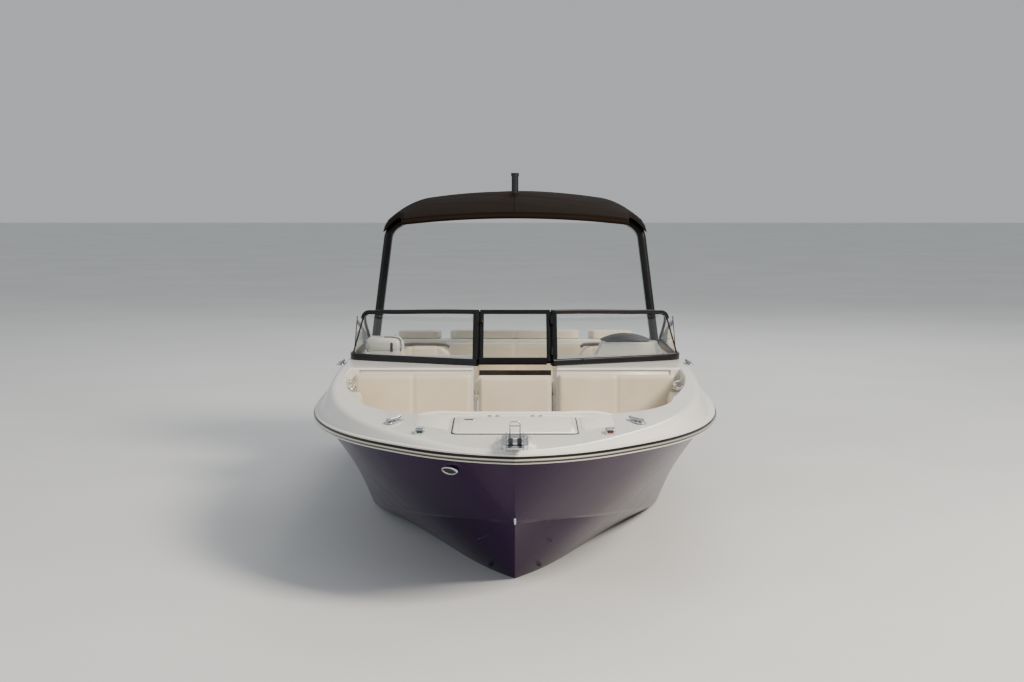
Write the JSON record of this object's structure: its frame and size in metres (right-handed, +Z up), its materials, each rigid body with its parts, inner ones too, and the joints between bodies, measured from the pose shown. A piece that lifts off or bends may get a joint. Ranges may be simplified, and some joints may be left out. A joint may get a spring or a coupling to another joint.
{
  "type": "speedboat",
  "caption": "Open bowrider speedboat with walk-through windshield, arch with canvas top, lounge seats and a sterndrive.",
  "frame": {"origin": "on the centreline at the waterline, amidships of the moulded hull", "axes": "+Z up, bow towards -Y, stern towards +Y, +X to port"},
  "size_m": [2.6064, 7.215, 3.0938],
  "materials": {
    "hull_purple": "gloss",
    "gelcoat_white": "gloss",
    "vinyl_black": "satin",
    "stainless": "polished",
    "gelcoat_liner": "gloss",
    "upholstery": "matt vinyl",
    "frame_black": "satin black anodised",
    "clear_glass": "clear",
    "dash_black": "matt",
    "gauge_face": "gloss",
    "aluminium_satin": "satin",
    "canvas_dark": "woven acrylic canvas",
    "engine_block": "painted",
    "drive_paint": "gloss black",
    "rubber_black": "matt",
    "prop_metal": "painted aluminium"
  },
  "bodies": {
    "boat": {"hull": "hull_purple", "deck": "gelcoat_white", "rub_rail": "vinyl_black", "rail_insert": "stainless", "cockpit_liner": "gelcoat_liner", "locker_liner": "gelcoat_liner", "consoles": "gelcoat_white", "console_pads": "upholstery", "bow_seats": "upholstery", "bow_bolsters": "upholstery", "windshield_frame": "frame_black", "windshield_glass": "clear_glass", "hatch_gutter": "gelcoat_white", "aft_side_pads": "upholstery", "bench_base": "gelcoat_white", "bench_cushions": "upholstery", "helm_hood": "dash_black", "helm_gauges": "gauge_face", "steering_column": "dash_black", "throttle": "dash_black", "seat_pedestals": "aluminium_satin", "arch": "frame_black", "canopy": "canvas_dark", "canopy_bows": "frame_black", "light_mast": "dash_black", "bow_roller": "stainless", "deck_fittings": "stainless", "hinges": "stainless", "hull_vent": "stainless", "grab_rails": "stainless", "swim_platform": "gelcoat_white", "engine": "engine_block", "engine_beds": "gelcoat_liner", "transom_housing": "drive_paint", "drive_bellows": "rubber_black"},
    "windshield_gate": {"gate_frame": "frame_black", "gate_glass": "clear_glass"},
    "bow_door": {"bow_door": "gelcoat_white", "bow_door_pad": "upholstery"},
    "locker_lid": {"anchor_locker_lid": "gelcoat_white"},
    "engine_hatch": {"engine_hatch": "gelcoat_white", "sunpad": "upholstery"},
    "steering_wheel": {"steering_wheel": "dash_black"},
    "helm_seat": {"helm_seat": "upholstery"},
    "companion_seat": {"companion_seat": "upholstery"},
    "gimbal_ring": {"gimbal_ring": "drive_paint"},
    "drive": {"drive_leg": "drive_paint"},
    "propeller": {"propeller": "prop_metal"},
    "trim_barrel_port": {"trim_barrel_port": "drive_paint"},
    "trim_barrel_starboard": {"trim_barrel_starboard": "drive_paint"},
    "trim_rod_port": {"trim_rod_port": "stainless"},
    "trim_rod_starboard": {"trim_rod_starboard": "stainless"}
  },
  "joints": [
    {"name": "gate_hinge", "type": "hinge", "parent": "boat", "child": "windshield_gate", "pos_m": [0.247, -0.55714, 1.06334], "axis": [0, 0.6669, 0.7451], "range_deg": [0, 150]},
    {"name": "bow_door_hinge", "type": "hinge", "parent": "boat", "child": "bow_door", "pos_m": [-0.25, -0.632, 0.6], "axis": [0, 0, 1], "range_deg": [0, 90]},
    {"name": "locker_lid_hinge", "type": "hinge", "parent": "boat", "child": "locker_lid", "pos_m": [0, -2.37, 0.94537], "axis": [-1, 0, 0], "range_deg": [0, 95]},
    {"name": "engine_hatch_hinge", "type": "hinge", "parent": "boat", "child": "engine_hatch", "pos_m": [0, 3.14, 0.90723], "axis": [-1, 0, 0], "range_deg": [0, 60]},
    {"name": "steering_wheel_turn", "type": "hinge", "parent": "boat", "child": "steering_wheel", "pos_m": [0.75, 0.685, 0.845], "axis": [0, 0.9063, 0.4226], "range_deg": [-504, 504]},
    {"name": "helm_seat_swivel", "type": "hinge", "parent": "boat", "child": "helm_seat", "pos_m": [0.7, 1.2, 0.6], "axis": [0, 0, 1], "range_deg": [-180, 180]},
    {"name": "companion_seat_swivel", "type": "hinge", "parent": "boat", "child": "companion_seat", "pos_m": [-0.7, 1.2, 0.6], "axis": [0, 0, 1], "range_deg": [-180, 180]},
    {"name": "drive_steering", "type": "hinge", "parent": "boat", "child": "gimbal_ring", "pos_m": [0, 3.36, 0.02], "axis": [0, 0, 1], "range_deg": [-28, 28]},
    {"name": "drive_tilt", "type": "hinge", "parent": "gimbal_ring", "child": "drive", "pos_m": [0, 3.36, 0.02], "axis": [1, 0, 0], "range_deg": [-5, 45]},
    {"name": "propeller_spin", "type": "hinge", "parent": "drive", "child": "propeller", "pos_m": [0, 3.76, -0.585], "axis": [0, 1, 0], "continuous": true},
    {"name": "trim_barrel_port_pivot", "type": "hinge", "parent": "gimbal_ring", "child": "trim_barrel_port", "pos_m": [0.165, 3.35, -0.09], "axis": [1, 0, 0], "range_deg": [-6, 38]},
    {"name": "trim_rod_port_slide", "type": "slide", "parent": "trim_barrel_port", "child": "trim_rod_port", "axis": [0, 0.9762, 0.2169], "range_m": [-0.012, 0.074]},
    {"name": "trim_barrel_starboard_pivot", "type": "hinge", "parent": "gimbal_ring", "child": "trim_barrel_starboard", "pos_m": [-0.165, 3.35, -0.09], "axis": [1, 0, 0], "range_deg": [-6, 38]},
    {"name": "trim_rod_starboard_slide", "type": "slide", "parent": "trim_barrel_starboard", "child": "trim_rod_starboard", "axis": [0, 0.9762, 0.2169], "range_m": [-0.012, 0.074]}
  ],
  "couplings": [
    {"joint": "steering_wheel_turn", "follows": "drive_steering", "ratio": 18},
    {"joint": "trim_barrel_port_pivot", "follows": "drive_tilt", "ratio": 0.767},
    {"joint": "trim_rod_port_slide", "follows": "drive_tilt", "m_per_rad": 0.0885},
    {"joint": "trim_barrel_starboard_pivot", "follows": "drive_tilt", "ratio": 0.767},
    {"joint": "trim_rod_starboard_slide", "follows": "drive_tilt", "m_per_rad": 0.0885}
  ]
}
